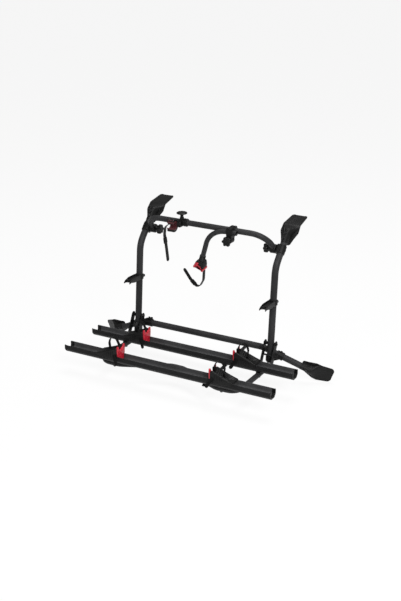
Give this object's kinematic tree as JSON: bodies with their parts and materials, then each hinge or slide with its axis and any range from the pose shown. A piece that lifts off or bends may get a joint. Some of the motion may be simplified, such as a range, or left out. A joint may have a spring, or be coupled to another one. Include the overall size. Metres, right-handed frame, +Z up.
{
  "type": "van bike carrier",
  "caption": "Rear-door van bike carrier: bent uprights with door hooks and feet, folding platform with wheel rails and sliding wheel holders, tilting upper bar with two frame holders.",
  "frame": {"origin": "midway between the bearing faces of the two door hooks", "axes": "+X across the van, to the viewer's right as seen from behind it; +Y towards the van's door; +Z up"},
  "size_m": [1.5054, 0.8171, 0.8897],
  "materials": {
    "anthracite_paint": "satin anthracite powder coat",
    "rail_aluminium": "black anodised aluminium extrusion",
    "black_plastic": "finely grained black moulded plastic",
    "red_rubber": "soft red moulded rubber",
    "black_strap": "flat black strap",
    "black_rubber": "matt black rubber sheet",
    "dark_steel": "black zinc plated steel"
  },
  "bodies": {
    "door_frame": {"upright_left": "anthracite_paint", "upright_right": "anthracite_paint", "top_bracket_left": "anthracite_paint", "top_bracket_right": "anthracite_paint", "hook_pads": "black_rubber", "bracket_bolts": "dark_steel", "lower_cross_tube": "anthracite_paint", "left_arm_tube": "anthracite_paint", "arm_coupling": "black_plastic", "foot_clamp_left": "black_plastic", "foot_clamp_right": "black_plastic", "clamp_bolts": "dark_steel", "foot_bracket_left": "anthracite_paint", "foot_bracket_right": "anthracite_paint", "foot_pads": "black_rubber", "clamp_inner_halves": "black_plastic", "clamp_outer_halves": "black_plastic", "platform_clip_left": "black_plastic", "platform_clip_right": "black_plastic", "hinge_bolts": "dark_steel", "hinge_bushes": "dark_steel"},
    "upper_bar": {"crossbar": "anthracite_paint", "bar_end_blocks": "black_plastic"},
    "knob_left": {"clamp_knob_left": "black_plastic"},
    "knob_right": {"clamp_knob_right": "black_plastic"},
    "short_holder": {"short_holder_clamp": "black_plastic", "short_holder_jaw": "black_plastic", "short_holder_liner": "red_rubber", "short_holder_strap": "black_strap"},
    "short_knob": {"short_holder_knob": "black_plastic"},
    "long_holder": {"long_holder_clamp": "black_plastic", "long_holder_tube": "anthracite_paint", "long_holder_collar": "black_plastic", "long_holder_jaw": "black_plastic", "long_holder_liner": "red_rubber", "long_holder_strap": "black_strap"},
    "long_knob": {"long_holder_knob": "black_plastic"},
    "platform": {"platform_frame": "anthracite_paint", "hinge_plates_left": "anthracite_paint", "hinge_plates_right": "anthracite_paint", "stop_pins": "dark_steel", "rail_front": "rail_aluminium", "rail_rear": "rail_aluminium", "rail_end_caps": "black_plastic", "rail_saddles": "black_plastic", "rail_bolts": "dark_steel", "support_strut": "anthracite_paint", "strut_foot": "black_rubber"},
    "wheel_holder_front_left": {"wheel_chock_front_left": "black_plastic", "wheel_insert_front_left": "red_rubber", "wheel_strap_front_left": "black_strap"},
    "wheel_holder_front_right": {"wheel_chock_front_right": "black_plastic", "wheel_insert_front_right": "red_rubber", "wheel_strap_front_right": "black_strap"},
    "wheel_holder_rear_left": {"wheel_chock_rear_left": "black_plastic", "wheel_insert_rear_left": "red_rubber", "wheel_strap_rear_left": "black_strap"},
    "wheel_holder_rear_right": {"wheel_chock_rear_right": "black_plastic", "wheel_insert_rear_right": "red_rubber", "wheel_strap_rear_right": "black_strap"}
  },
  "joints": [
    {"name": "platform_fold", "type": "hinge", "parent": "door_frame", "child": "platform", "pos_m": [0, -0.29508, -0.62569], "axis": [1, 0, 0], "range_deg": [-97, 0]},
    {"name": "upper_bar_tilt", "type": "hinge", "parent": "door_frame", "child": "upper_bar", "pos_m": [0, -0.18484, -0.11666], "axis": [1, 0, 0], "range_deg": [-8, 20]},
    {"name": "clamp_knob_left_turn", "type": "hinge", "parent": "upper_bar", "child": "knob_left", "pos_m": [0, -0.18484, -0.11666], "axis": [1, 0, 0], "continuous": true},
    {"name": "clamp_knob_right_turn", "type": "hinge", "parent": "upper_bar", "child": "knob_right", "pos_m": [0, -0.18484, -0.11666], "axis": [1, 0, 0], "continuous": true},
    {"name": "short_holder_turn", "type": "hinge", "parent": "upper_bar", "child": "short_holder", "pos_m": [0, -0.26884, -0.02166], "axis": [1, 0, 0], "range_deg": [-60, 60]},
    {"name": "short_knob_turn", "type": "hinge", "parent": "short_holder", "child": "short_knob", "pos_m": [-0.145, -0.26884, 0], "axis": [0, 0, 1], "continuous": true},
    {"name": "long_holder_turn", "type": "hinge", "parent": "upper_bar", "child": "long_holder", "pos_m": [0, -0.26884, -0.02166], "axis": [1, 0, 0], "range_deg": [-90, 10]},
    {"name": "long_knob_turn", "type": "hinge", "parent": "long_holder", "child": "long_knob", "pos_m": [0.176, -0.32324, -0.06569], "axis": [0, 1, 0], "continuous": true},
    {"name": "wheel_holder_front_left_slide", "type": "slide", "parent": "platform", "child": "wheel_holder_front_left", "axis": [-1, 0, 0], "range_m": [-0.04, 0.19]},
    {"name": "wheel_holder_front_right_slide", "type": "slide", "parent": "platform", "child": "wheel_holder_front_right", "axis": [1, 0, 0], "range_m": [-0.04, 0.19]},
    {"name": "wheel_holder_rear_left_slide", "type": "slide", "parent": "platform", "child": "wheel_holder_rear_left", "axis": [-1, 0, 0], "range_m": [-0.04, 0.19]},
    {"name": "wheel_holder_rear_right_slide", "type": "slide", "parent": "platform", "child": "wheel_holder_rear_right", "axis": [1, 0, 0], "range_m": [-0.04, 0.19]}
  ]
}
